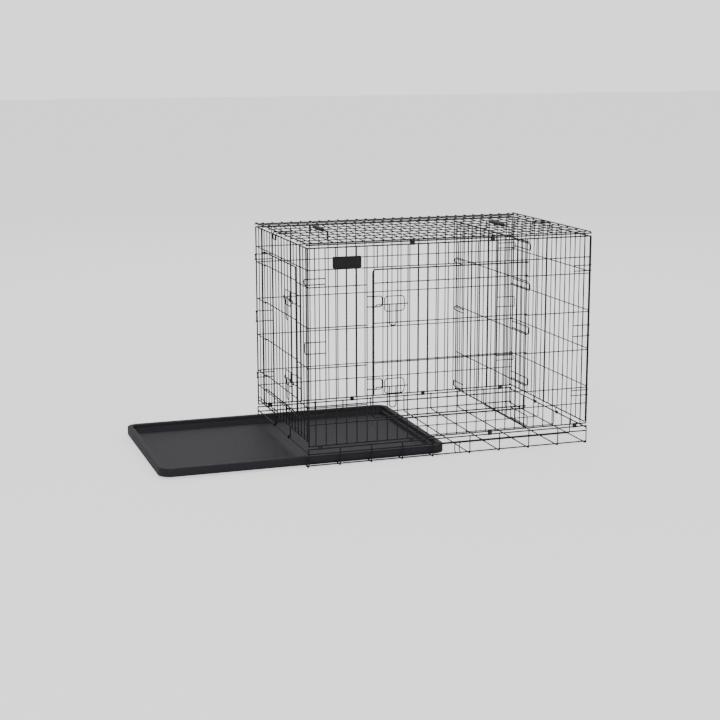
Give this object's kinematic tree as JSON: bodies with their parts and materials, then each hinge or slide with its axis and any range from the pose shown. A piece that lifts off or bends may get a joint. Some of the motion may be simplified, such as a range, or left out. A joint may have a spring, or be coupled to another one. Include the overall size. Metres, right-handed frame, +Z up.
{
  "type": "wire dog crate",
  "caption": "Folding wire dog crate with a drop-in divider, latched front and side doors, hinged top with carry handles and a slide-out plastic tray, shown half drawn out.",
  "frame": {"origin": "middle of the standing crate's footprint, on the ground", "axes": "+X along the length, away from the side the tray leaves by; +Y from the front wall with the large door to the back wall; +Z up"},
  "size_m": [1.5994, 0.7219, 0.7989],
  "materials": {
    "wire_steel": "semi-gloss black coating over steel wire",
    "clip_steel": "satin black coated sheet steel",
    "tray_plastic": "fine pebble-textured charcoal black plastic",
    "plate_plastic": "satin black moulded plastic",
    "grip_plastic": "matt black moulded plastic"
  },
  "bodies": {
    "base": {"floor_basket": "wire_steel", "floor_crimps": "clip_steel", "tray_finger_loop": "wire_steel", "front_base_clips": "clip_steel", "back_base_clips": "clip_steel"},
    "tray": {"tray": "tray_plastic"},
    "front_wall": {"front_panel": "wire_steel", "front_corner_keepers": "wire_steel", "front_door_catches": "wire_steel", "name_plate": "plate_plastic", "lid_hinge_clips": "clip_steel"},
    "back_wall": {"back_panel": "wire_steel", "back_corner_keepers": "wire_steel"},
    "left_end": {"left_end_panel": "wire_steel", "left_end_hinge_legs": "wire_steel", "left_door_catches": "wire_steel"},
    "right_end": {"right_end_panel": "wire_steel", "right_end_hinge_legs": "wire_steel"},
    "front_door": {"front_door": "wire_steel", "front_bolt_guides": "wire_steel"},
    "left_door": {"left_door": "wire_steel", "left_bolt_guides": "wire_steel"},
    "front_upper_bolt": {"front_upper_bolt": "wire_steel"},
    "front_lower_bolt": {"front_lower_bolt": "wire_steel"},
    "left_upper_bolt": {"left_upper_bolt": "wire_steel"},
    "left_lower_bolt": {"left_lower_bolt": "wire_steel"},
    "lid": {"lid_panel": "wire_steel", "lid_end_hooks": "wire_steel"},
    "left_handle": {"left_handle_wire": "wire_steel", "left_handle_grip": "grip_plastic"},
    "right_handle": {"right_handle_wire": "wire_steel", "right_handle_grip": "grip_plastic"},
    "divider": {"divider_panel": "wire_steel", "divider_front_hooks": "wire_steel", "divider_back_hooks": "wire_steel"}
  },
  "joints": [
    {"name": "tray_slide", "type": "slide", "parent": "base", "child": "tray", "axis": [1, 0, 0], "range_m": [-0.45, 0.535]},
    {"name": "front_fold", "type": "hinge", "parent": "base", "child": "front_wall", "pos_m": [0, -0.3425, 0.0758], "axis": [-1, 0, 0], "range_deg": [-90, 0]},
    {"name": "back_fold", "type": "hinge", "parent": "base", "child": "back_wall", "pos_m": [0, 0.3425, 0.0758], "axis": [1, 0, 0], "range_deg": [-90, 0]},
    {"name": "left_end_fold", "type": "hinge", "parent": "base", "child": "left_end", "pos_m": [-0.5345, 0, 0.0523], "axis": [0, -1, 0], "range_deg": [-90, 0]},
    {"name": "right_end_fold", "type": "hinge", "parent": "base", "child": "right_end", "pos_m": [0.5345, 0, 0.0603], "axis": [0, 1, 0], "range_deg": [-18, 0]},
    {"name": "front_door_hinge", "type": "hinge", "parent": "front_wall", "child": "front_door", "pos_m": [0.282, -0.3469, 0], "axis": [0, 0, 1], "range_deg": [0, 165]},
    {"name": "left_door_hinge", "type": "hinge", "parent": "left_end", "child": "left_door", "pos_m": [-0.5344, 0.21728, 0], "axis": [0, 0, -1], "range_deg": [0, 165]},
    {"name": "front_upper_bolt_slide", "type": "slide", "parent": "front_door", "child": "front_upper_bolt", "axis": [1, 0, 0], "range_m": [0, 0.028]},
    {"name": "front_lower_bolt_slide", "type": "slide", "parent": "front_door", "child": "front_lower_bolt", "axis": [1, 0, 0], "range_m": [0, 0.028]},
    {"name": "left_upper_bolt_slide", "type": "slide", "parent": "left_door", "child": "left_upper_bolt", "axis": [0, 1, 0], "range_m": [0, 0.028]},
    {"name": "left_lower_bolt_slide", "type": "slide", "parent": "left_door", "child": "left_lower_bolt", "axis": [0, 1, 0], "range_m": [0, 0.028]},
    {"name": "lid_hinge", "type": "hinge", "parent": "front_wall", "child": "lid", "pos_m": [0, -0.3425, 0.78], "axis": [1, 0, 0], "range_deg": [0, 180]},
    {"name": "left_handle_lift", "type": "slide", "parent": "lid", "child": "left_handle", "axis": [0, 0, 1], "range_m": [0, 0.018]},
    {"name": "right_handle_lift", "type": "slide", "parent": "lid", "child": "right_handle", "axis": [0, 0, 1], "range_m": [0, 0.018]},
    {"name": "divider_lift", "type": "slide", "parent": "base", "child": "divider", "axis": [0, 0, 1], "range_m": [0, 0.008]}
  ]
}
